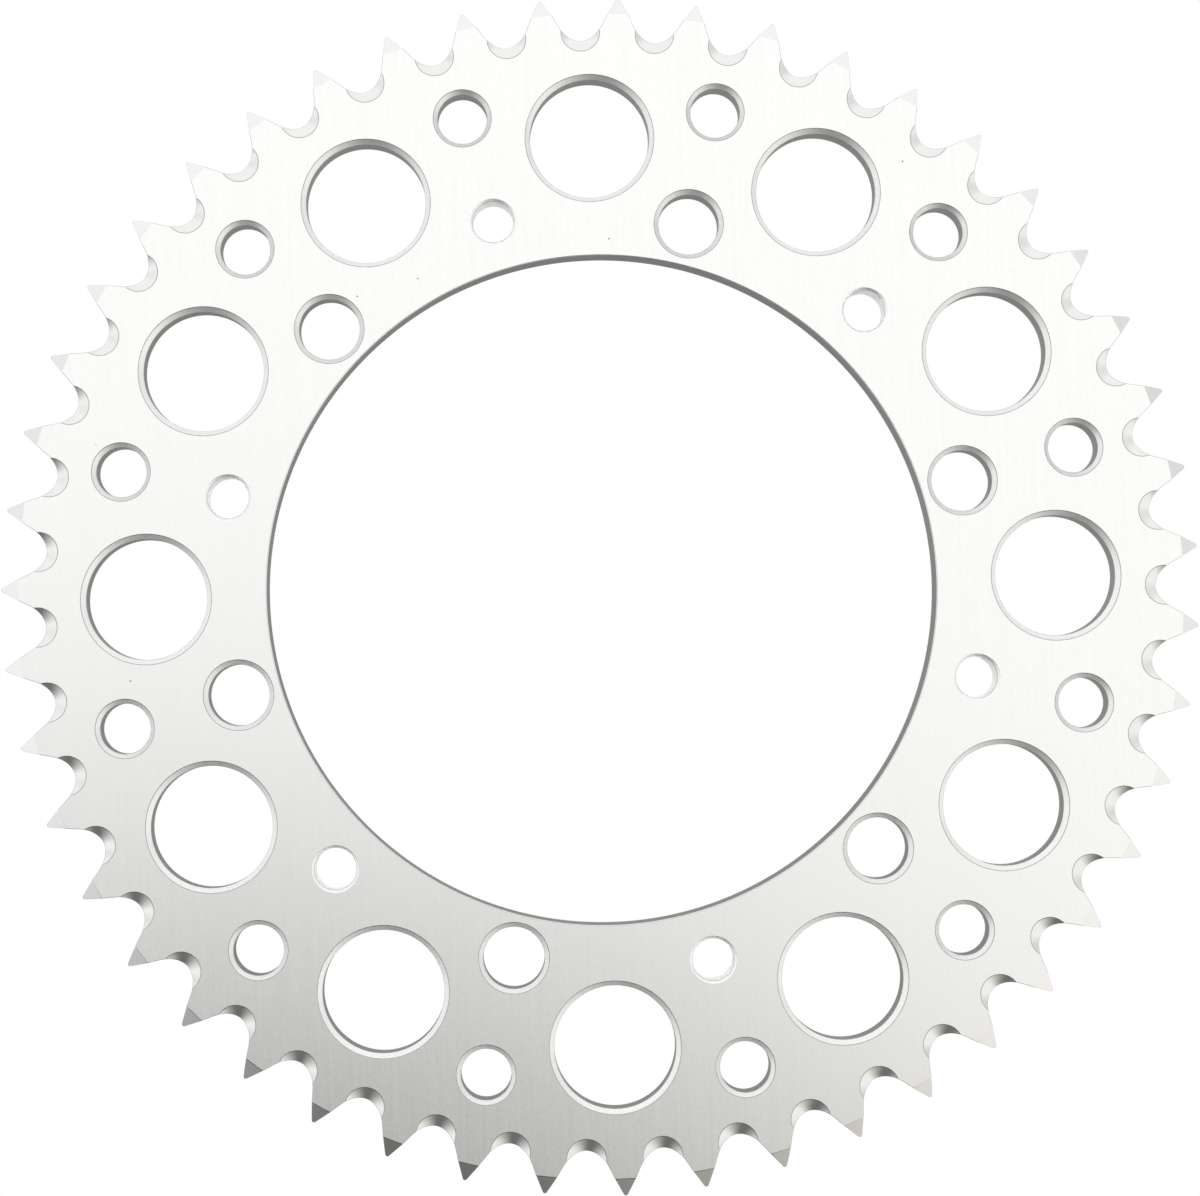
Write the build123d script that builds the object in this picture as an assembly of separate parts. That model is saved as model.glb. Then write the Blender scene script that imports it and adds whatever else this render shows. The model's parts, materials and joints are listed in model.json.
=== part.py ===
from build123d import *
import os
from math import cos, radians, sin, sqrt, tan

# A one-piece rear sprocket, machined from aluminium plate.  It stands upright:
# the spin axis is Y, the front face looks along -Y and the origin is the bore's
# centre at mid-thickness, which is also the chain line.  Sizes are in
# millimetres.  Angles are degrees, anticlockwise from +X seen from the front.

# ---- driving dimensions -------------------------------------------------------

# chain and teeth
TEETH = 47
CHAIN_PITCH = 15.875        # 520 roller chain, 5/8 inch
ROLLER_DIAMETER = 10.16
ROLLER_CLEARANCE = 0.07     # between a roller and the seat it drops into
TOOTH_HALF_ANGLE = 25.5     # between a tooth's flank and its centre line
TOOTH_NOSE_RADIUS = 0.45
TOOTH_DATUM = 240.0         # one tooth is centred on the ray of a lightening hole

# plate
THICKNESS = 5.85
TIP_LAND = 1.5              # thickness left at the tip of a tooth
TIP_BEVEL = 3.8             # radial run of the turned bevel, in from the tip circle

# mud scoops: a countersink's cone at every roller seat, in both faces
SCOOP_REACH = 2.7           # from the root circle in to the cone's edge
SCOOP_RADIUS = 4.0          # of the cone's edge on the face
SCOOP_WEB = 1.7             # thickness left between the two cones at the root

# hub fit
BORE_DIAMETER = 136.6
BORE_EDGE_BREAK = 0.15
BOLT_COUNT = 6
BOLT_HOLE = 12.4
BOLT_EDGE_DISTANCE = 8.7    # bore wall to the bolt holes' centres
BOLT_CHAMFER = 0.95
BOLT_DATUM = 15.0
SCREW_HOLE = 8.5            # the second, smaller hub pattern
SCREW_EDGE_DISTANCE = 10.2  # bore wall to the screw holes' centres
SCREW_CHAMFER = 0.45

# lightening holes
LIGHTENING_COUNT = 12
HUB_RING = 12.2             # solid ring between the bore and the large holes
RIM_RING = 8.6              # solid ring between the large holes and the root circle
LARGE_CHAMFER = 1.0
MEDIUM_HOLE = 10.2
MEDIUM_OUTWARD = 0.7183     # share of the free metal that lies inside a medium hole
MEDIUM_CHAMFER = 0.9

CUT_PAST = 1.0              # how far each cutting tool runs past the face

# ---- derived places -----------------------------------------------------------

TOOTH_STEP = 360.0 / TEETH
HALF_STEP = TOOTH_STEP / 2
PITCH_RADIUS = CHAIN_PITCH / (2 * sin(radians(HALF_STEP)))
SEAT_RADIUS = ROLLER_DIAMETER / 2 + ROLLER_CLEARANCE
ROOT_RADIUS = PITCH_RADIUS - SEAT_RADIUS
HALF_THICKNESS = THICKNESS / 2

BORE_RADIUS = BORE_DIAMETER / 2
BOLT_CIRCLE_RADIUS = BORE_RADIUS + BOLT_EDGE_DISTANCE
SCREW_CIRCLE_RADIUS = BORE_RADIUS + SCREW_EDGE_DISTANCE
LARGE_INNER = BORE_RADIUS + HUB_RING
LARGE_OUTER = ROOT_RADIUS - RIM_RING
LARGE_HOLE = LARGE_OUTER - LARGE_INNER
LARGE_CIRCLE_RADIUS = (LARGE_OUTER + LARGE_INNER) / 2

# The medium holes share their rays with the bolt and screw holes.  Each sits in
# the metal between the bolt holes and the scoops, nearer the scoops.
MEDIUM_INNER_LIMIT = BOLT_CIRCLE_RADIUS + BOLT_HOLE / 2
MEDIUM_OUTER_LIMIT = ROOT_RADIUS - SCOOP_REACH
MEDIUM_FREE_METAL = MEDIUM_OUTER_LIMIT - MEDIUM_INNER_LIMIT - MEDIUM_HOLE
MEDIUM_INNER = MEDIUM_INNER_LIMIT + MEDIUM_OUTWARD * MEDIUM_FREE_METAL
MEDIUM_CIRCLE_RADIUS = MEDIUM_INNER + MEDIUM_HOLE / 2

HOLE_STEP = 360.0 / LIGHTENING_COUNT
BOLT_STEP = 360.0 / BOLT_COUNT


def polar(radius, angle):
    """Point at this radius and angle on the face."""
    return (radius * cos(radians(angle)), radius * sin(radians(angle)))


# ---- tooth form ---------------------------------------------------------------

# The gap is a roller seat with two straight flanks tangent to it.  A flank leans
# from the gap's centre line by the tooth's half angle and half a tooth step.
FLANK_LEAN = TOOTH_HALF_ANGLE + HALF_STEP
SEAT_END_ACROSS = SEAT_RADIUS * cos(radians(FLANK_LEAN))
SEAT_END_RADIAL = PITCH_RADIUS - SEAT_RADIUS * sin(radians(FLANK_LEAN))

# The same seat end, measured across and along the tooth's own centre line.
FLANK_FOOT_ACROSS = SEAT_END_RADIAL * sin(radians(HALF_STEP)) - SEAT_END_ACROSS * cos(radians(HALF_STEP))
FLANK_FOOT_ALONG = SEAT_END_RADIAL * cos(radians(HALF_STEP)) + SEAT_END_ACROSS * sin(radians(HALF_STEP))
FLANK_APEX = FLANK_FOOT_ALONG + FLANK_FOOT_ACROSS / tan(radians(TOOTH_HALF_ANGLE))
NOSE_CENTRE = FLANK_APEX - TOOTH_NOSE_RADIUS / sin(radians(TOOTH_HALF_ANGLE))
TIP_RADIUS = NOSE_CENTRE + TOOTH_NOSE_RADIUS


def on_ray(angle, along, across):
    """Point measured along the ray at this angle, and across it anticlockwise."""
    x_along, y_along = polar(along, angle)
    x_across, y_across = polar(across, angle + 90)
    return (x_along + x_across, y_along + y_across)


def tooth_edges(angle):
    """The nose and two flanks of the tooth at this angle, and the seat after it."""
    nose_across = TOOTH_NOSE_RADIUS * cos(radians(TOOTH_HALF_ANGLE))
    nose_along = NOSE_CENTRE + TOOTH_NOSE_RADIUS * sin(radians(TOOTH_HALF_ANGLE))
    foot_before = on_ray(angle, FLANK_FOOT_ALONG, -FLANK_FOOT_ACROSS)
    nose_before = on_ray(angle, nose_along, -nose_across)
    tip = on_ray(angle, TIP_RADIUS, 0)
    nose_after = on_ray(angle, nose_along, nose_across)
    foot_after = on_ray(angle, FLANK_FOOT_ALONG, FLANK_FOOT_ACROSS)
    root = polar(ROOT_RADIUS, angle + HALF_STEP)
    next_foot = on_ray(angle + TOOTH_STEP, FLANK_FOOT_ALONG, -FLANK_FOOT_ACROSS)
    return [
        Line(foot_before, nose_before),
        ThreePointArc(nose_before, tip, nose_after),
        Line(nose_after, foot_after),
        ThreePointArc(foot_after, root, next_foot),
    ]


def toothed_blank():
    """The plate with its ring of teeth, before any hole or bevel."""
    outline = []
    for tooth in range(TEETH):
        outline += tooth_edges(TOOTH_DATUM + tooth * TOOTH_STEP)
    face = make_face(Curve() + outline)
    return extrude(face, amount=HALF_THICKNESS, both=True)


def tip_bevels():
    """The turned envelope that thins the teeth evenly towards their tips."""
    bevel_start = TIP_RADIUS - TIP_BEVEL
    slope = (HALF_THICKNESS - TIP_LAND / 2) / TIP_BEVEL
    past_tip = TIP_RADIUS + CUT_PAST
    past_half = TIP_LAND / 2 - slope * CUT_PAST
    profile = Polyline(
        (0, -HALF_THICKNESS),
        (bevel_start, -HALF_THICKNESS),
        (past_tip, -past_half),
        (past_tip, past_half),
        (bevel_start, HALF_THICKNESS),
        (0, HALF_THICKNESS),
        close=True,
    )
    section = Plane.XZ * make_face(profile)
    return revolve(section, Axis.Z)


# ---- cutting tools ------------------------------------------------------------

def drill(diameter, chamfer):
    """A through hole's tool with a 45 degree chamfer at both faces."""
    radius = diameter / 2
    end = HALF_THICKNESS + CUT_PAST
    flare = radius + chamfer + CUT_PAST
    wall_end = HALF_THICKNESS - chamfer
    profile = Polyline(
        (0, -end),
        (flare, -end),
        (radius, -wall_end),
        (radius, wall_end),
        (flare, end),
        (0, end),
        close=True,
    )
    section = Plane.XZ * make_face(profile)
    return revolve(section, Axis.Z)


def ring_of(tool, radius, count, datum):
    """Copies of a tool, evenly spaced on a circle from the datum angle."""
    return [place * tool for place in PolarLocations(radius, count, start_angle=datum)]


def scoop_tools():
    """Cones that countersink both faces at every roller seat and leave the web between them."""
    centre_radius = ROOT_RADIUS - SCOOP_REACH + SCOOP_RADIUS
    slope = (THICKNESS - SCOOP_WEB) / 2 / SCOOP_REACH
    apex_depth = SCOOP_RADIUS * slope
    flare = SCOOP_RADIUS + CUT_PAST / slope
    cone = Cone(0, flare, apex_depth + CUT_PAST, align=(Align.CENTER, Align.CENTER, Align.MIN))
    front = Pos(0, 0, HALF_THICKNESS - apex_depth) * cone
    back = Rot(180, 0, 0) * front
    first_gap = TOOTH_DATUM + HALF_STEP
    return ring_of(front, centre_radius, TEETH, first_gap) + ring_of(back, centre_radius, TEETH, first_gap)


def hole_tools():
    """The bore, both hub patterns and both rings of lightening holes."""
    bore = [drill(BORE_DIAMETER, BORE_EDGE_BREAK)]
    bolts = ring_of(drill(BOLT_HOLE, BOLT_CHAMFER), BOLT_CIRCLE_RADIUS, BOLT_COUNT, BOLT_DATUM)
    screws = ring_of(
        drill(SCREW_HOLE, SCREW_CHAMFER), SCREW_CIRCLE_RADIUS, BOLT_COUNT, BOLT_DATUM + BOLT_STEP / 2
    )
    large = ring_of(drill(LARGE_HOLE, LARGE_CHAMFER), LARGE_CIRCLE_RADIUS, LIGHTENING_COUNT, 0)
    medium = ring_of(
        drill(MEDIUM_HOLE, MEDIUM_CHAMFER), MEDIUM_CIRCLE_RADIUS, LIGHTENING_COUNT, HOLE_STEP / 2
    )
    return bore + bolts + screws + large + medium


def sprocket():
    """The finished plate, stood upright with its front face towards -Y."""
    flat = toothed_blank() & tip_bevels()
    flat = flat - (hole_tools() + scoop_tools())
    return Rot(90, 0, 0) * flat


# ---- output -------------------------------------------------------------------

print(f"pitch circle {2 * PITCH_RADIUS:.2f}, root circle {2 * ROOT_RADIUS:.2f}, tips {2 * TIP_RADIUS:.2f}")
print(f"bolt circle {2 * BOLT_CIRCLE_RADIUS:.2f}, screw circle {2 * SCREW_CIRCLE_RADIUS:.2f}")
print(f"large holes {LARGE_HOLE:.2f} on {2 * LARGE_CIRCLE_RADIUS:.2f}, medium on {2 * MEDIUM_CIRCLE_RADIUS:.2f}")

os.makedirs("parts", exist_ok=True)
export_step(sprocket(), "parts/sprocket.step")
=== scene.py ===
import json
from math import asin, cos, degrees, pi, radians, sin, sqrt, tan

import bmesh
import bpy
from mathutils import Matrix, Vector


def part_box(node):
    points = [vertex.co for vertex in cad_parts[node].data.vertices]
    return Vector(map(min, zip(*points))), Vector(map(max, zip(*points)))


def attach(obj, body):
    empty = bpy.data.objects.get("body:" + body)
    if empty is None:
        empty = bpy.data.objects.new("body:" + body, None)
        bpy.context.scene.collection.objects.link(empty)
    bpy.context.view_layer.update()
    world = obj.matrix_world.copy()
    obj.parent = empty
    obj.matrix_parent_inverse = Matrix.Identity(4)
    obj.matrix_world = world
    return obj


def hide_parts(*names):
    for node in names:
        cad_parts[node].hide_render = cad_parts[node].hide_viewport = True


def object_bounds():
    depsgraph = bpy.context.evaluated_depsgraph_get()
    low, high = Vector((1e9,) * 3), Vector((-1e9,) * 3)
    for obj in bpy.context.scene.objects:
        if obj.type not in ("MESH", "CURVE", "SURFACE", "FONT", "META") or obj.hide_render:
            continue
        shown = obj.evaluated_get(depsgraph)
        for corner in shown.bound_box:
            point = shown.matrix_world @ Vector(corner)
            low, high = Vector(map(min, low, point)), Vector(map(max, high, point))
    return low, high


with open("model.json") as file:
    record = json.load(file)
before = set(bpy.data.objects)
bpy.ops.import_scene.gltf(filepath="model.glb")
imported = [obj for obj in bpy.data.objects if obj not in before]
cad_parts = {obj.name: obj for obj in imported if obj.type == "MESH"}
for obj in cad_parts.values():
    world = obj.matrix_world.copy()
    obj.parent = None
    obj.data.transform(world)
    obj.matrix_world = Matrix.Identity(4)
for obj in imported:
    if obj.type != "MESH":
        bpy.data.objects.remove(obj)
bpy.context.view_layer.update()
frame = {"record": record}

# A one-piece rear sprocket, machined from aluminium plate.  Its shape is worked out
# lying flat, in millimetres, with its front face towards +Z, and the last step
# stands it up in metres with its front face towards -Y.  Angles are in degrees,
# anticlockwise seen from the front.

MM = 0.001
NODE = "sprocket"

# ---- sizes --------------------------------------------------------------------

dims = {mount["name"]: mount["dims"] for mount in frame["record"]["mounts"]}
plate_low, plate_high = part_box(NODE)
HALF_THICKNESS = (plate_high.y - plate_low.y) / 2 / MM

# chain and teeth
TEETH = dims["chain_teeth"]["count"]
PITCH_RADIUS = dims["chain_teeth"]["pcd_mm"] / 2
SEAT_RADIUS = 5.15
TOOTH_HALF_ANGLE = 25.5
TOOTH_NOSE_RADIUS = 0.45
FIRST_TOOTH = 240
TIP_LAND = 1.5
TIP_BEVEL = 3.8

# mud scoops: a countersink's cone at every roller seat, in both faces
SCOOP_REACH = 2.7
SCOOP_RADIUS = 4.0
SCOOP_WEB = 1.7

# hub fit
BORE_RADIUS = dims["hub_bore"]["r_mm"]
BORE_CHAMFER = 0.15
BOLT_COUNT = dims["bolt_holes_large"]["count"]
BOLT_HOLE_RADIUS = dims["bolt_holes_large"]["hole_r_mm"]
BOLT_CIRCLE_RADIUS = dims["bolt_holes_large"]["pcd_mm"] / 2
BOLT_CHAMFER = 0.95
BOLT_START = 15
SCREW_COUNT = dims["bolt_holes_small"]["count"]
SCREW_HOLE_RADIUS = dims["bolt_holes_small"]["hole_r_mm"]
SCREW_CIRCLE_RADIUS = dims["bolt_holes_small"]["pcd_mm"] / 2
SCREW_CHAMFER = 0.45
SCREW_START = 45

# lightening holes
LIGHTENING_COUNT = 12
HUB_RING = 12.2
RIM_RING = 8.6
LARGE_CHAMFER = 1.0
MEDIUM_HOLE_RADIUS = 5.1
MEDIUM_CIRCLE_RADIUS = 100.935
MEDIUM_CHAMFER = 0.9
MEDIUM_START = 15

# how far a deburred edge is cut back on each side of its corner, and the most of a
# narrow slope or chamfer that it may take
EDGE_BREAK = 0.09
SLOPE_SHARE = 0.4
CHAMFER_SHARE = 0.3

# flat sides that stand for each round hole
BORE_SIDES = 360
BOLT_SIDES = 72
SCREW_SIDES = 56
LARGE_SIDES = 96
MEDIUM_SIDES = 64

TOOTH_STEP = 360 / TEETH
HALF_STEP = TOOTH_STEP / 2
ROOT_RADIUS = PITCH_RADIUS - SEAT_RADIUS
LARGE_INNER = BORE_RADIUS + HUB_RING
LARGE_OUTER = ROOT_RADIUS - RIM_RING
LARGE_HOLE_RADIUS = (LARGE_OUTER - LARGE_INNER) / 2
LARGE_CIRCLE_RADIUS = (LARGE_OUTER + LARGE_INNER) / 2

# Each face of the mesh carries the number of its finish.  Faces filled in later have
# none, which reads as 0, the flat faces' number.
FLAT, BEVEL, SCOOP, FLANK, CHAMFER, BORED, REAMED, EDGE, TURNED_EDGE = range(9)


# ---- adding objects and nodes --------------------------------------------------

def place(name, data):
    """A new object of this mesh or camera, in the scene."""
    made = bpy.data.objects.new(name, data)
    bpy.context.scene.collection.objects.link(made)
    return made


def empty_tree(owner):
    """The node tree of a new material or world, with nothing in it."""
    owner.use_nodes = True
    owner.node_tree.nodes.clear()
    return owner.node_tree


def add(tree, kind, inputs=None, **settings):
    """Add a node with its settings; inputs holds values or the sockets linked to it."""
    made = tree.nodes.new(kind)
    for name, value in settings.items():
        setattr(made, name, value)
    for key, value in (inputs or {}).items():
        if isinstance(value, bpy.types.NodeSocket):
            tree.links.new(value, made.inputs[key])
        else:
            made.inputs[key].default_value = value
    return made


# ---- tooth form ---------------------------------------------------------------

# In one gap's own axes, x runs across the gap and y outwards along its middle.
FLANK_LEAN = TOOTH_HALF_ANGLE + HALF_STEP
FLANK_SIDE = Vector((-cos(radians(FLANK_LEAN)), sin(radians(FLANK_LEAN))))
FLANK_RUN = Vector((sin(radians(FLANK_LEAN)), cos(radians(FLANK_LEAN))))
FLANK_FOOT = Vector((0, PITCH_RADIUS)) - SEAT_RADIUS * FLANK_SIDE
TOOTH_AXIS = Vector((sin(radians(HALF_STEP)), cos(radians(HALF_STEP))))


def nose_centre_radius():
    """How far a tooth's nose centre lies from the spin axis."""
    along = FLANK_FOOT.dot(TOOTH_AXIS)
    across = abs(FLANK_FOOT.cross(TOOTH_AXIS))
    apex = along + across / tan(radians(TOOTH_HALF_ANGLE))
    return apex - TOOTH_NOSE_RADIUS / sin(radians(TOOTH_HALF_ANGLE))


NOSE_CENTRE = nose_centre_radius() * TOOTH_AXIS
TIP_RADIUS = NOSE_CENTRE.length + TOOTH_NOSE_RADIUS
BEVEL_START = TIP_RADIUS - TIP_BEVEL
BEVEL_SLOPE = (HALF_THICKNESS - TIP_LAND / 2) / TIP_BEVEL

SCOOP_CENTRE = Vector((0, ROOT_RADIUS - SCOOP_REACH + SCOOP_RADIUS))
SCOOP_SLOPE = (HALF_THICKNESS - SCOOP_WEB / 2) / SCOOP_REACH

# Steps along half a gap, from its root to the tip of the tooth beside it.
SCOOP_STEPS = 12
SEAT_STEPS = 2
FLANK_STEPS = 3
BEVEL_STEPS = 6
NOSE_STEPS = 4

# Points between the two edges of a scoop or a bevel.
SLOPE_POINTS = 2

# A section's rows of faces, from the flat face down: the rounded upper edge, the scoop
# or bevel, the rounded lower edge and the wall.
ROUND_ROWS = 2
SLOPE_ROWS = SLOPE_POINTS + 1
LOWER_EDGE_ROW = ROUND_ROWS + SLOPE_ROWS
WALL_ROW = LOWER_EDGE_ROW + ROUND_ROWS

# Points of the mesh that are nearer than this are one point.
MERGE = 0.002


def scoop_height(point):
    """Height of the scoop's cone above the mid-plane."""
    return HALF_THICKNESS - SCOOP_SLOPE * (SCOOP_RADIUS - (point - SCOOP_CENTRE).length)


def bevel_height(point):
    """Height of the turned bevel above the mid-plane."""
    return HALF_THICKNESS - BEVEL_SLOPE * (point.length - BEVEL_START)


def flat_height(point):
    """Height of the flat face above the mid-plane."""
    return HALF_THICKNESS


def scoop_corner():
    """How far round the seat, and round the scoop, the two meet on the face."""
    lift = PITCH_RADIUS - SCOOP_CENTRE.y
    above = (lift**2 + SCOOP_RADIUS**2 - SEAT_RADIUS**2) / (2 * lift)
    across = sqrt(SCOOP_RADIUS**2 - above**2)
    return degrees(asin(across / SEAT_RADIUS)), 90 + degrees(asin(above / SCOOP_RADIUS))


def below(centre, radius, turn):
    """Point on a circle, turned from its lowest point."""
    return centre + radius * Vector((sin(radians(turn)), -cos(radians(turn))))


def half_gap():
    """Steps from root to tip: a point of the face's edge, one of the wall, the surface between."""
    seat_centre = Vector((0, PITCH_RADIUS))
    seat_turn, scoop_turn = scoop_corner()
    seat_end = 90 - FLANK_LEAN
    flank_offset = abs(FLANK_FOOT.cross(FLANK_RUN))
    bevel_run = sqrt(BEVEL_START**2 - flank_offset**2) - FLANK_FOOT.dot(FLANK_RUN)
    bevel_foot = FLANK_FOOT + bevel_run * FLANK_RUN
    nose_start = NOSE_CENTRE + TOOTH_NOSE_RADIUS * FLANK_SIDE
    steps = []
    for i in range(SCOOP_STEPS):
        edge = below(SCOOP_CENTRE, SCOOP_RADIUS, scoop_turn * i / SCOOP_STEPS)
        wall = below(seat_centre, SEAT_RADIUS, seat_turn * i / SCOOP_STEPS)
        steps.append((edge, wall, scoop_height))
    for i in range(SEAT_STEPS):
        wall = below(seat_centre, SEAT_RADIUS, seat_turn + (seat_end - seat_turn) * i / SEAT_STEPS)
        steps.append((wall, wall, flat_height))
    for i in range(FLANK_STEPS):
        wall = FLANK_FOOT.lerp(bevel_foot, i / FLANK_STEPS)
        steps.append((wall, wall, flat_height))
    bevel_walls = [bevel_foot.lerp(nose_start, i / BEVEL_STEPS) for i in range(BEVEL_STEPS)]
    for i in range(NOSE_STEPS + 1):
        side = FLANK_SIDE.slerp(TOOTH_AXIS, i / NOSE_STEPS)
        bevel_walls.append(NOSE_CENTRE + TOOTH_NOSE_RADIUS * side)
    for wall in bevel_walls:
        steps.append((BEVEL_START * wall.normalized(), wall, bevel_height))
    return steps


def set_back(points):
    """An edge's points moved into the metal by the edge break, mitred at its corners."""
    runs = [(after - before).normalized() for before, after in zip(points, points[1:])]
    sides = [Vector((0, -1))] + [Vector((run.y, -run.x)) for run in runs] + [-TOOTH_AXIS]
    moved = []
    for point, side_before, side_after in zip(points, sides, sides[1:]):
        middle = (side_before + side_after).normalized()
        moved.append(point + middle * EDGE_BREAK / middle.dot(side_after))
    return moved


def corner_round(start, corner, end):
    """Three points that round a corner off."""
    return [start, (start + 2 * corner + end) / 4, end]


def section(edge, edge_back, wall, height):
    """One step's line from the flat face, over the scoop or bevel, down to the mid-plane."""
    width = (wall - edge).length

    def surface(run):
        spot = edge + (wall - edge) * run / width
        return Vector((*spot, height(spot)))

    face_start = Vector((*edge_back, HALF_THICKNESS))
    wall_top = Vector((*wall, height(wall)))
    wall_start = wall_top - Vector((0, 0, EDGE_BREAK))
    if width < MERGE:
        start, middle, end = corner_round(face_start, wall_top, wall_start)
        line = [start] + [middle] * (WALL_ROW - 1) + [end]
    else:
        cut = min(EDGE_BREAK, SLOPE_SHARE * width)
        line = corner_round(face_start, Vector((*edge, HALF_THICKNESS)), surface(cut))
        for i in range(1, SLOPE_POINTS + 1):
            line.append(surface(cut + (width - 2 * cut) * i / SLOPE_ROWS))
        line += corner_round(surface(width - cut), wall_top, wall_start)
    return line + [Vector((*wall, 0))]


def strip_mesh(name, lines, finish_of):
    """A mesh strung across side-by-side lines of points, with a finish for every face."""
    across = len(lines[0])
    faces = []
    finishes = []
    for i in range(len(lines) - 1):
        for j in range(across - 1):
            corner = i * across + j
            faces.append((corner, corner + across, corner + across + 1, corner + 1))
            finishes.append(finish_of(i, j))
    mesh = bpy.data.meshes.new(name)
    mesh.from_pydata([point for line in lines for point in line], [], faces)
    mesh.attributes.new("finish", "INT", "FACE").data.foreach_set("value", finishes)
    return place(name, mesh)


def both_faces(line):
    """A line that ends on the mid-plane, carried on to the back face."""
    return line + [Vector((point.x, point.y, -point.z)) for point in reversed(line[:-1])]


def tooth_gap():
    """One roller seat and the half tooth on each side of it, through the whole thickness."""
    steps = half_gap()
    edges_back = set_back([edge for edge, wall, height in steps])
    right = []
    for (edge, wall, height), edge_back in zip(steps, edges_back):
        right.append(section(edge, edge_back, wall, height))
    left = []
    for line in reversed(right[1:]):
        left.append([Vector((-point.x, point.y, point.z)) for point in line])
    lines = [both_faces(line) for line in left + right]
    middle = len(left)
    last_row = len(lines[0]) - 2
    surfaces = {scoop_height: SCOOP, bevel_height: BEVEL, flat_height: EDGE}

    def finish_of(i, j):
        # Steps run both ways from the root, and rows run from both faces to the mid-plane.
        step = i - middle if i >= middle else middle - 1 - i
        row = min(j, last_row - j)
        surface = surfaces[steps[step][2]]
        if row < ROUND_ROWS:
            return TURNED_EDGE if surface == BEVEL else EDGE
        if row < LOWER_EDGE_ROW:
            return surface
        return EDGE if row < WALL_ROW else FLANK

    return strip_mesh("tooth gap", lines, finish_of)


def hole_rim(name, radius, chamfer, sides, outer=EDGE, wall=BORED):
    """A hole's wall and its chamfer at both faces, turned about the hole's own axis."""
    cut = min(EDGE_BREAK, CHAMFER_SHARE * chamfer)
    slope = Vector((-1, -1)).normalized() * cut
    chamfer_top = Vector((radius + chamfer, HALF_THICKNESS))
    wall_top = Vector((radius, HALF_THICKNESS - chamfer))
    profile = corner_round(chamfer_top + Vector((cut, 0)), chamfer_top, chamfer_top + slope)
    profile += corner_round(wall_top - slope, wall_top, wall_top - Vector((0, cut)))
    profile.append(Vector((radius, 0)))
    bands = [outer, outer, CHAMFER, EDGE, EDGE, wall]
    bands += reversed(bands)
    lines = []
    for i in range(sides + 1):
        turn = 2 * pi * i / sides
        lines.append(both_faces([Vector((p.x * cos(turn), p.x * sin(turn), p.y)) for p in profile]))
    return strip_mesh(name, lines, lambda i, j: bands[j])


# ---- the plate ----------------------------------------------------------------

# What a ring of copies needs, and the kind of input each is.
RING_INPUTS = {
    "Piece": "NodeSocketObject",
    "Count": "NodeSocketInt",
    "Circle Radius": "NodeSocketFloat",
    "First Angle": "NodeSocketFloat",
}

# How a Compare node tests whether two whole numbers, its inputs 2 and 3, are the same.
SAME_NUMBER = {"data_type": "INT", "operation": "EQUAL"}


def copies_round_axis():
    """A node group: copies of a piece, evenly spaced on a circle and turned to face out."""
    tree = bpy.data.node_groups.new("copies round the axis", "GeometryNodeTree")
    for label, kind in RING_INPUTS.items():
        tree.interface.new_socket(label, in_out="INPUT", socket_type=kind)
    tree.interface.new_socket("Geometry", in_out="OUTPUT", socket_type="NodeSocketGeometry")
    size = add(tree, "NodeGroupInput").outputs
    number = add(tree, "GeometryNodeInputIndex").outputs[0]
    step = add(tree, "ShaderNodeMath", {0: 2 * pi, 1: size["Count"]}, operation="DIVIDE").outputs[0]
    turned = {0: number, 1: step, 2: size["First Angle"]}
    turn = add(tree, "ShaderNodeMath", turned, operation="MULTIPLY_ADD").outputs[0]
    along = add(tree, "ShaderNodeMath", {0: turn}, operation="COSINE").outputs[0]
    up = add(tree, "ShaderNodeMath", {0: turn}, operation="SINE").outputs[0]
    ray = add(tree, "ShaderNodeCombineXYZ", {"X": along, "Y": up}).outputs[0]
    reach = {0: ray, "Scale": size["Circle Radius"]}
    spot = add(tree, "ShaderNodeVectorMath", reach, operation="SCALE").outputs[0]
    points = add(tree, "GeometryNodePoints", {"Count": size["Count"], "Position": spot}).outputs[0]
    facing = add(tree, "ShaderNodeCombineXYZ", {"Z": turn}).outputs[0]
    piece = add(tree, "GeometryNodeObjectInfo", {"Object": size["Piece"]}).outputs["Geometry"]
    ring = {"Points": points, "Instance": piece, "Rotation": facing}
    copies = add(tree, "GeometryNodeInstanceOnPoints", ring).outputs[0]
    solid = add(tree, "GeometryNodeRealizeInstances", {"Geometry": copies}).outputs[0]
    add(tree, "NodeGroupOutput", {"Geometry": solid})
    return tree


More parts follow.
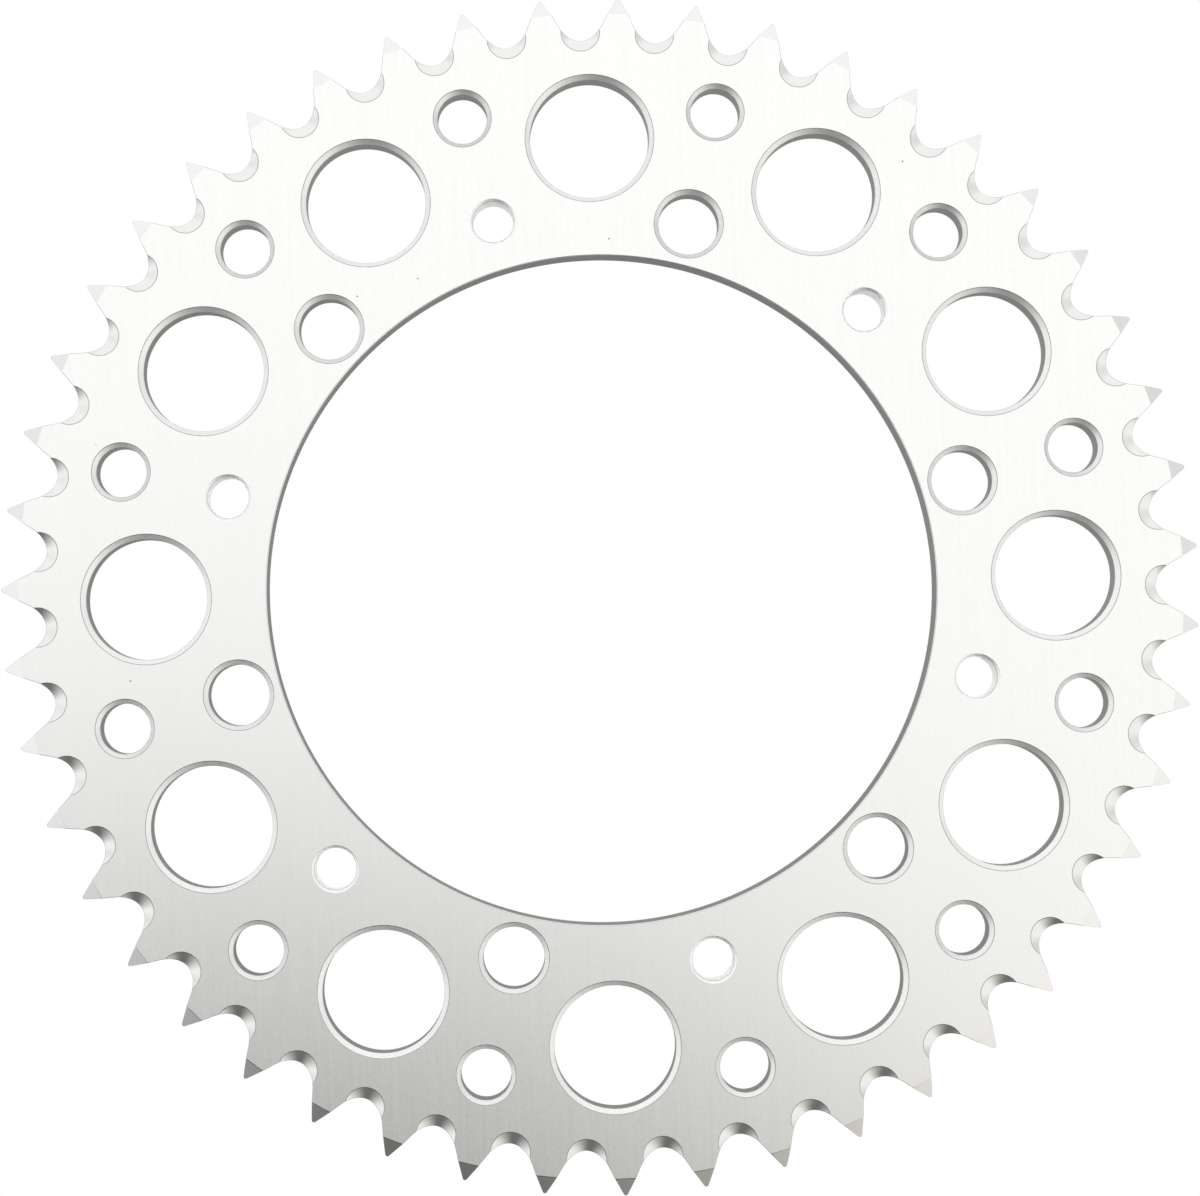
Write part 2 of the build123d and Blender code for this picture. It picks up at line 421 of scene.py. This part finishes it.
def machined_plate(rings, materials):
    """A node tree: the rings of gaps and holes, with both faces filled between their edges."""
    tree = bpy.data.node_groups.new("machined plate", "GeometryNodeTree")
    tree.interface.new_socket("Geometry", in_out="OUTPUT", socket_type="NodeSocketGeometry")
    tree.interface.new_socket("Half Thickness", in_out="INPUT", socket_type="NodeSocketFloat")
    tree.interface.new_socket("Merge Distance", in_out="INPUT", socket_type="NodeSocketFloat")
    for ring in rings:
        for label, kind in RING_INPUTS.items():
            tree.interface.new_socket(f"{ring} {label}", in_out="INPUT", socket_type=kind)
    size = add(tree, "NodeGroupInput").outputs
    copies = copies_round_axis()
    cut_edges = add(tree, "GeometryNodeJoinGeometry")
    for ring in rings:
        made = add(tree, "GeometryNodeGroup", node_tree=copies)
        for label in RING_INPUTS:
            tree.links.new(size[f"{ring} {label}"], made.inputs[label])
        tree.links.new(made.outputs[0], cut_edges.inputs[0])
    merge = {"Geometry": cut_edges.outputs[0], "Distance": size["Merge Distance"]}
    edges = add(tree, "GeometryNodeMergeByDistance", merge).outputs[0]

    # The open edges on the front side bound the flat face, which is filled between them.
    neighbours = add(tree, "GeometryNodeInputMeshEdgeNeighbors").outputs[0]
    is_open = add(tree, "FunctionNodeCompare", {2: neighbours, 3: 1}, **SAME_NUMBER).outputs[0]
    position = add(tree, "GeometryNodeInputPosition").outputs[0]
    height = add(tree, "ShaderNodeSeparateXYZ", {0: position}).outputs["Z"]
    in_front = add(tree, "FunctionNodeCompare", {0: height, 1: 0.0}, operation="GREATER_THAN").outputs[0]
    both = {0: is_open, 1: in_front}
    bounding = add(tree, "FunctionNodeBooleanMath", both, operation="AND").outputs[0]
    outline = add(tree, "GeometryNodeMeshToCurve", {"Mesh": edges, "Selection": bounding}).outputs[0]
    fill = add(tree, "GeometryNodeFillCurve", {"Curve": outline}).outputs[0]
    lift = add(tree, "ShaderNodeCombineXYZ", {"Z": size["Half Thickness"]}).outputs[0]
    drop = add(tree, "ShaderNodeVectorMath", {0: lift, "Scale": -1.0}, operation="SCALE").outputs[0]
    front = add(tree, "GeometryNodeTransform", {"Geometry": fill, "Translation": lift}).outputs[0]
    turned = add(tree, "GeometryNodeFlipFaces", {"Mesh": fill}).outputs[0]
    back = add(tree, "GeometryNodeTransform", {"Geometry": turned, "Translation": drop}).outputs[0]
    whole = add(tree, "GeometryNodeJoinGeometry")
    for part in (edges, front, back):
        tree.links.new(part, whole.inputs[0])
    merge = {"Geometry": whole.outputs[0], "Distance": size["Merge Distance"]}
    closed = add(tree, "GeometryNodeMergeByDistance", merge).outputs[0]

    # Stand the plate up, in metres.
    stand = {"Geometry": closed, "Rotation": (pi / 2, 0, 0), "Scale": (MM, MM, MM)}
    upright = add(tree, "GeometryNodeTransform", stand).outputs[0]
    finish = add(tree, "GeometryNodeInputNamedAttribute", {"Name": "finish"}, data_type="INT").outputs[0]
    flat = add(tree, "FunctionNodeCompare", {2: finish, 3: FLAT}, **SAME_NUMBER).outputs[0]
    curved = add(tree, "FunctionNodeBooleanMath", {0: flat}, operation="NOT").outputs[0]
    smooth = {"Geometry": upright, "Shade Smooth": curved}
    shaded = add(tree, "GeometryNodeSetShadeSmooth", smooth).outputs[0]
    result = add(tree, "GeometryNodeRealizeInstances", {"Geometry": shaded}).outputs[0]
    for number, material in enumerate(materials):
        chosen = add(tree, "FunctionNodeCompare", {2: finish, 3: number}, **SAME_NUMBER).outputs[0]
        dress = {"Geometry": result, "Selection": chosen, "Material": material}
        result = add(tree, "GeometryNodeSetMaterial", dress).outputs[0]
    add(tree, "NodeGroupOutput", {"Geometry": result})
    return tree


def shade_apart(mesh):
    """Keep the shading of one finish from running into the next."""
    working = bmesh.new()
    working.from_mesh(mesh)
    finish = working.faces.layers.int["finish"]
    for edge in working.edges:
        edge.smooth = len({face[finish] for face in edge.link_faces}) == 1
    working.to_mesh(mesh)
    working.free()


def make_sprocket(materials):
    """The whole plate as one plain mesh."""
    # Each ring: its piece, how many there are, the radius they stand at and the first's angle.
    rings = {
        "Gap": (tooth_gap(), TEETH, 0, FIRST_TOOTH + HALF_STEP - 90),
        "Bore": (hole_rim("bore", BORE_RADIUS, BORE_CHAMFER, BORE_SIDES), 1, 0, 0),
        "Bolt Hole": (
            hole_rim("bolt hole", BOLT_HOLE_RADIUS, BOLT_CHAMFER, BOLT_SIDES),
            BOLT_COUNT, BOLT_CIRCLE_RADIUS, BOLT_START,
        ),
        # A screw hole's outer edge is as bright as its chamfer, so no painted shade line shows there.
        "Screw Hole": (
            hole_rim("screw hole", SCREW_HOLE_RADIUS, SCREW_CHAMFER, SCREW_SIDES, CHAMFER, REAMED),
            SCREW_COUNT, SCREW_CIRCLE_RADIUS, SCREW_START,
        ),
        "Large Hole": (
            hole_rim("large hole", LARGE_HOLE_RADIUS, LARGE_CHAMFER, LARGE_SIDES),
            LIGHTENING_COUNT, LARGE_CIRCLE_RADIUS, 0,
        ),
        "Medium Hole": (
            hole_rim("medium hole", MEDIUM_HOLE_RADIUS, MEDIUM_CHAMFER, MEDIUM_SIDES),
            LIGHTENING_COUNT, MEDIUM_CIRCLE_RADIUS, MEDIUM_START,
        ),
    }
    tree = machined_plate(rings, materials)
    socket = {item.name: item.identifier for item in tree.interface.items_tree}
    blank = place("blank", bpy.data.meshes.new("blank"))
    machining = blank.modifiers.new("machining", "NODES")
    machining.node_group = tree
    machining[socket["Half Thickness"]] = HALF_THICKNESS
    machining[socket["Merge Distance"]] = MERGE
    for ring, (piece, count, radius, start) in rings.items():
        machining[socket[f"{ring} Piece"]] = piece
        machining[socket[f"{ring} Count"]] = count
        machining[socket[f"{ring} Circle Radius"]] = float(radius)
        machining[socket[f"{ring} First Angle"]] = radians(start)
    view = bpy.context.evaluated_depsgraph_get()
    mesh = bpy.data.meshes.new_from_object(
        blank.evaluated_get(view), preserve_all_data_layers=True, depsgraph=view
    )
    for piece in [blank] + [ring[0] for ring in rings.values()]:
        bpy.data.objects.remove(piece)
    shade_apart(mesh)
    return place("machined_sprocket", mesh)


# ---- finishes -----------------------------------------------------------------

def linear(code):
    """A colour's sRGB hex code as linear RGBA."""
    channels = [int(code[i:i + 2], 16) / 255 for i in (1, 3, 5)]
    return tuple(c / 12.92 if c <= 0.04045 else ((c + 0.055) / 1.055) ** 2.4 for c in channels) + (1,)


# Sizes in millimetres: how far tool lines and grain run, the rolled face's mottle, its
# pits and how far apart they are.
LONG = 30.0
MOTTLE_MM = 0.8
PIT_MM = 0.22
PIT_SPACING_MM = 9.0

# how much of the rolled face's pattern is grain, and of a pit's width is its dark floor
GRAIN_SHARE = 0.6
PIT_FLOOR_SHARE = 0.6


def bare_aluminium(name):
    """A new material with an empty node tree, and where on the object it is, in millimetres."""
    material = bpy.data.materials.new(name)
    tree = empty_tree(material)
    metres = add(tree, "ShaderNodeTexCoord").outputs["Object"]
    spot = add(tree, "ShaderNodeVectorMath", {0: metres, "Scale": 1 / MM}, operation="SCALE").outputs[0]
    return material, tree, spot


def metal(tree, tone, rough, height, depth_mm):
    """Bare metal of this tone and roughness, with a relief this deep."""
    relief = {"Strength": 1.0, "Distance": depth_mm * MM, "Height": height}
    bump = add(tree, "ShaderNodeBump", relief).outputs[0]
    look = {"Base Color": tone, "Metallic": 1.0, "Roughness": rough, "Normal": bump}
    shader = add(tree, "ShaderNodeBsdfPrincipled", look)
    add(tree, "ShaderNodeOutputMaterial", {"Surface": shader.outputs[0]})


def streaks(tree, spot, grain_mm):
    """Noise drawn out into lines; grain_mm is its size along X, Y and Z."""
    scale = tuple(1 / size for size in grain_mm)
    lines_at = add(tree, "ShaderNodeMapping", {"Vector": spot, "Scale": scale}).outputs[0]
    noise = {"Vector": lines_at, "Scale": 1.0, "Detail": 3.0, "Roughness": 0.6}
    return add(tree, "ShaderNodeTexNoise", noise).outputs[0]


def spread(tree, value, low, high):
    """A noise value's middle range, stretched over low to high."""
    stretch = {"Value": value, "From Min": 0.3, "From Max": 0.7, "To Min": low, "To Max": high}
    return add(tree, "ShaderNodeMapRange", stretch).outputs[0]


def cut_aluminium(name, grain_mm, dark, light, rough_low, rough_high, depth_mm):
    """Bare aluminium with tool lines, from dark and smooth to light and rough."""
    material, tree, spot = bare_aluminium(name)
    lines = streaks(tree, spot, grain_mm)
    colours = {0: lines, 6: linear(dark), 7: linear(light)}
    tone = add(tree, "ShaderNodeMix", colours, data_type="RGBA").outputs[2]
    metal(tree, tone, spread(tree, lines, rough_low, rough_high), lines, depth_mm)
    return material


def rolled_aluminium(name, dark, light, pit, rough_low, rough_high, depth_mm):
    """Bare rolled aluminium: a fine mottle, an upright grain and a few tiny pits."""
    material, tree, spot = bare_aluminium(name)
    grain = streaks(tree, spot, (MOTTLE_MM, LONG, LONG))
    blotch = {"Vector": spot, "Scale": 1 / MOTTLE_MM, "Detail": 2.0, "Roughness": 0.5}
    mottle = add(tree, "ShaderNodeTexNoise", blotch).outputs[0]
    mixed = add(tree, "ShaderNodeMix", {0: GRAIN_SHARE, 2: mottle, 3: grain}).outputs[0]
    colours = {0: spread(tree, mixed, 0.0, 1.0), 6: linear(dark), 7: linear(light)}
    tone = add(tree, "ShaderNodeMix", colours, data_type="RGBA").outputs[2]
    near = add(tree, "ShaderNodeTexVoronoi", {"Vector": spot, "Scale": 1 / PIT_SPACING_MM}).outputs[0]
    pit_size = PIT_MM / PIT_SPACING_MM
    edge = {"Value": near, "From Min": pit_size, "From Max": PIT_FLOOR_SHARE * pit_size}
    pitted = add(tree, "ShaderNodeMapRange", edge).outputs[0]
    tone = add(tree, "ShaderNodeMix", {0: pitted, 6: tone, 7: linear(pit)}, data_type="RGBA").outputs[2]
    metal(tree, tone, spread(tree, mixed, rough_low, rough_high), mixed, depth_mm)
    return material


# The finishes, in the order of their numbers.
finishes = [
    # The plate as rolled: a pale satin that is faintly speckled and grained.
    rolled_aluminium("rolled satin aluminium", "#f5f5f4", "#fcfcfb", "#8c8c8a", 0.25, 0.29, 0.0002),
    # Lathe turned: fine rings, smoother than the plate, so they mirror the room more clearly.
    cut_aluminium("turned aluminium", (LONG, 0.25, LONG), "#e8e8e6", "#f2f2f0", 0.18, 0.26, 0.001),
    # Scooped by a form cutter: smooth, with faint rings, a touch greyer than the bevels.
    cut_aluminium("form cut aluminium", (LONG, 0.3, LONG), "#e4e4e2", "#f0f0ee", 0.18, 0.26, 0.001),
    # Hobbed: cutter lines straight through the thickness.
    cut_aluminium("hobbed aluminium", (0.4, LONG, 0.4), "#d8d8d6", "#ececea", 0.28, 0.4, 0.002),
    # Countersunk: a soft bright ring round each hole.
    cut_aluminium("countersunk aluminium", (LONG, 0.2, LONG), "#fafaf8", "#ffffff", 0.42, 0.5, 0.001),
    # Bored: feed lines round a wall painted darker, partly its own cut finish and partly painted shade
    # of the hole's inside.
    cut_aluminium("bored aluminium with painted shade", (LONG, 0.2, LONG), "#c8c8c6", "#dcdcda", 0.3, 0.4, 0.002),
    # Reamed: an even wall that stays pale all the way round.
    cut_aluminium("reamed aluminium", (LONG, 0.2, LONG), "#ffffff", "#ffffff", 0.9, 1.0, 0.0),
    # Rounded edges: a dark grey painted along most edges, a painted shade line for the dark edges the
    # room's light gives.
    cut_aluminium("painted dark edge aluminium", (0.6, 0.6, 0.6), "#a4a4a2", "#bcbcba", 0.4, 0.5, 0.0),
    # Where the bevels start: as bright as the bevels, so no painted shade line shows.
    cut_aluminium("turned corner aluminium", (0.6, 0.6, 0.6), "#e8e8e6", "#f2f2f0", 0.24, 0.3, 0.0),
]

sprocket = make_sprocket(finishes)
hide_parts(NODE)
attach(sprocket, "root")

# ---- studio -------------------------------------------------------------------

# Directions are in degrees off the front view's axis, and round it from +X.
ROOM_LIGHT = 1.19

# Where round the axis the dark side is, and how dark it is by the degrees sideways from
# its middle and outwards from the axis.
DARK_AZIMUTH = 254
DARK_SIDEWAYS = [(0, 0.84), (12, 0.82), (30, 0.58), (46, 0.28), (62, 0.0)]
DARK_OUTWARDS = [(0, 0.0), (16, 0.0), (30, 1.0), (112, 1.0), (150, 0.0)]

# Further shades: how far each is off the axis, where round it, and the light that is left
# by the degrees from its middle.
SHADES = [
    (34, 253, [(0, 0.11), (18, 0.15), (25, 0.5), (31, 1.0)]),
    (75, 18, [(0, 0.72), (12, 0.8), (30, 1.0)]),
    (75, 160, [(0, 0.82), (9, 0.9), (22, 1.0)]),
    (55, 300, [(0, (1.0, 0.97, 0.9, 1)), (25, (1.0, 0.98, 0.93, 1)), (60, (1.0, 1.0, 1.0, 1))]),
    (180, 0, [(0, 0.08), (20, 0.12), (42, 0.9)]),
]

# the floor's half width, in metres
FLOOR_HALF = 1.5

# the camera's place in metres and its turn in degrees about X, Y and Z
CAMERA_PLACE = (-0.01493, -0.44741, -0.01856)
CAMERA_TURN = (93.358, 1.559, -0.632)
CAMERA_SHIFT = (0.03704, -0.03867)
LENS_MM = 65.51
SENSOR_MM = 36


def towards(polar, azimuth):
    """Unit direction, this far off the front view's axis and round it from +X."""
    out = sin(radians(polar))
    return (out * cos(radians(azimuth)), -cos(radians(polar)), out * sin(radians(azimuth)))


def ramp(tree, angle, stops):
    """A grey level or colour that follows an angle, from stops of (degrees, level)."""
    share = add(tree, "ShaderNodeMath", {0: angle, 1: pi}, operation="DIVIDE").outputs[0]
    made = add(tree, "ShaderNodeValToRGB", {0: share})
    elements = made.color_ramp.elements
    while len(elements) < len(stops):
        elements.new(0.5)
    for element, (at, level) in zip(elements, stops):
        element.position = at / 180
        element.color = level if isinstance(level, tuple) else (level, level, level, 1)
    return made.outputs[0]


def studio():
    """White to the camera; to all that it is reflected in, a white room with one dark side."""
    world = bpy.data.worlds.new("studio")
    bpy.context.scene.world = world
    tree = empty_tree(world)
    direction = add(tree, "ShaderNodeTexCoord").outputs["Generated"]

    def angle_from(vector, centre):
        pair = {0: vector, 1: centre}
        facing = add(tree, "ShaderNodeVectorMath", pair, operation="DOT_PRODUCT").outputs["Value"]
        return add(tree, "ShaderNodeMath", {0: facing}, operation="ARCCOSINE").outputs[0]

    # The dark side: below and to the left of the camera, fading sideways and towards it.
    squash = {0: direction, 1: (1, 0, 1)}
    flat = add(tree, "ShaderNodeVectorMath", squash, operation="MULTIPLY").outputs[0]
    around = add(tree, "ShaderNodeVectorMath", {0: flat}, operation="NORMALIZE").outputs[0]
    sideways = ramp(tree, angle_from(around, towards(90, DARK_AZIMUTH)), DARK_SIDEWAYS)
    outwards = ramp(tree, angle_from(direction, towards(0, 0)), DARK_OUTWARDS)
    dark = add(tree, "ShaderNodeMath", {0: sideways, 1: outwards}, operation="MULTIPLY").outputs[0]
    light = add(tree, "ShaderNodeMath", {0: 1.0, 1: dark}, operation="SUBTRACT").outputs[0]
    for polar, azimuth, stops in SHADES:
        shade = ramp(tree, angle_from(direction, towards(polar, azimuth)), stops)
        shaded = {0: light, 1: shade}
        light = add(tree, "ShaderNodeVectorMath", shaded, operation="MULTIPLY").outputs[0]
    reflected = add(tree, "ShaderNodeBackground", {"Color": light, "Strength": ROOM_LIGHT})
    white = add(tree, "ShaderNodeBackground", {"Color": (1, 1, 1, 1)})
    seen = add(tree, "ShaderNodeLightPath").outputs["Is Camera Ray"]
    either = {0: seen, 1: reflected.outputs[0], 2: white.outputs[0]}
    mixed = add(tree, "ShaderNodeMixShader", either)
    add(tree, "ShaderNodeOutputWorld", {"Surface": mixed.outputs[0]})


def white_floor():
    """A plain pale floor under the lowest tooth."""
    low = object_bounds()[0].z
    signs = [(-1, -1), (1, -1), (1, 1), (-1, 1)]
    mesh = bpy.data.meshes.new("floor")
    mesh.from_pydata([(FLOOR_HALF * x, FLOOR_HALF * y, low) for x, y in signs], [], [(0, 1, 2, 3)])
    floor = place("floor", mesh)
    material = bpy.data.materials.new("white sweep")
    tree = empty_tree(material)
    glow = add(tree, "ShaderNodeEmission", {"Color": (1, 1, 1, 1)})
    add(tree, "ShaderNodeOutputMaterial", {"Surface": glow.outputs[0]})
    mesh.materials.append(material)
    # The metal mirrors the room alone.
    floor.visible_glossy = False


def camera():
    """The camera, in front of the plate and nearly square to it."""
    data = bpy.data.cameras.new("camera")
    data.lens = LENS_MM
    data.sensor_width = SENSOR_MM
    data.shift_x, data.shift_y = CAMERA_SHIFT
    made = place("camera", data)
    made.location = CAMERA_PLACE
    made.rotation_euler = [radians(turn) for turn in CAMERA_TURN]
    bpy.context.scene.camera = made


studio()
white_floor()
camera()
bpy.context.scene.view_settings.view_transform = "Standard"
